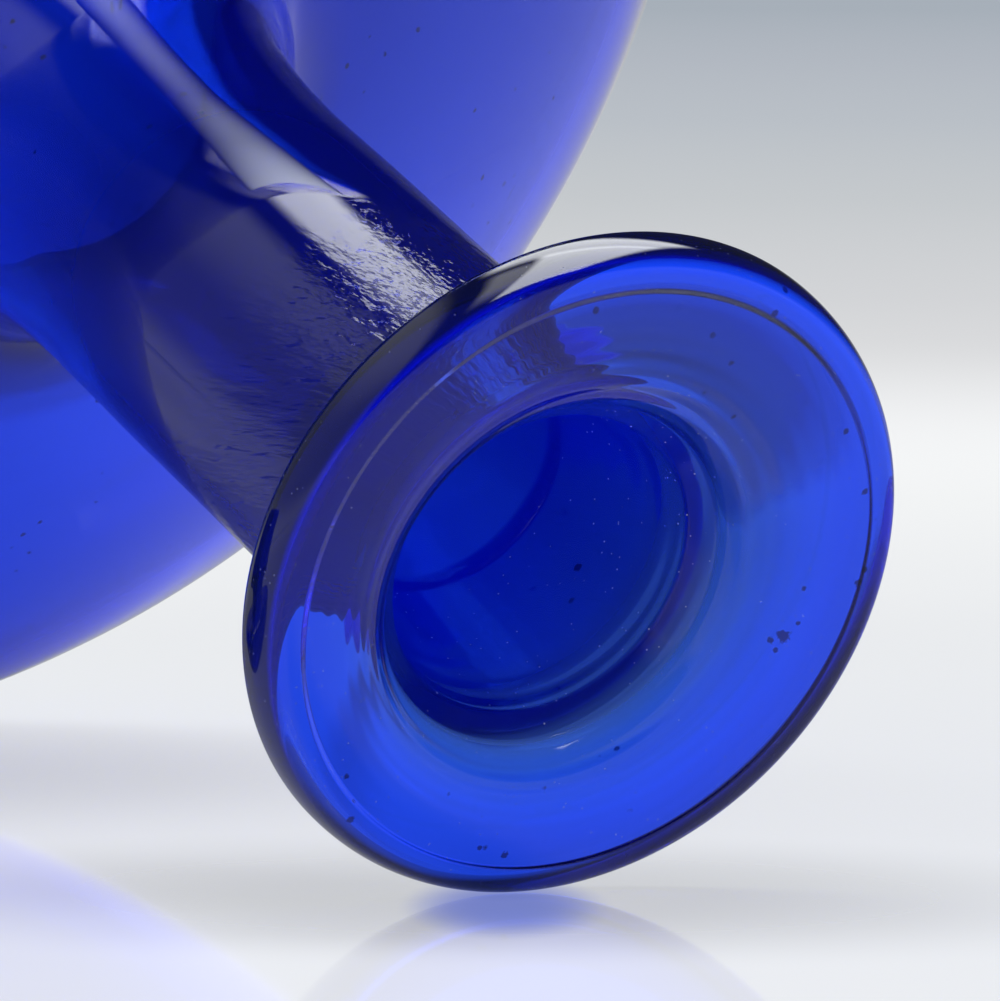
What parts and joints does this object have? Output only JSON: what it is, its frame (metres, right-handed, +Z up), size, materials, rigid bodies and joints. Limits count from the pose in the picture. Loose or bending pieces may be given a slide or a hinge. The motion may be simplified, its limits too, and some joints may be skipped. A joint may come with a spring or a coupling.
{
  "type": "liquor decanter",
  "caption": "Blown glass decanter with a wide squat body, a plain neck and a thick disc lip, lying on its side, with its loose ground stopper.",
  "frame": {"origin": "on the table that the decanter lies on, under the middle of the whole part's box", "axes": "+Z up; -Y the way the mouth faces, seen from above; +Y towards the base; the decanter's own axis tips 23.2 degrees down towards the mouth"},
  "size_m": [0.201, 0.2578, 0.1969],
  "materials": {
    "blown_glass": "fire-polished cobalt glass, ground and frosted on the stopper's seat",
    "stopper_glass": "polished cobalt glass, the plug ground and frosted"
  },
  "bodies": {
    "decanter": {"bowl": "blown_glass", "neck": "blown_glass", "lip": "blown_glass"},
    "stopper": {"stopper": "stopper_glass"}
  },
  "joints": [
    {"name": "stopper_lift", "type": "slide", "parent": "decanter", "child": "stopper", "axis": [0, 0, 1], "range_m": [0, 0.22]}
  ]
}
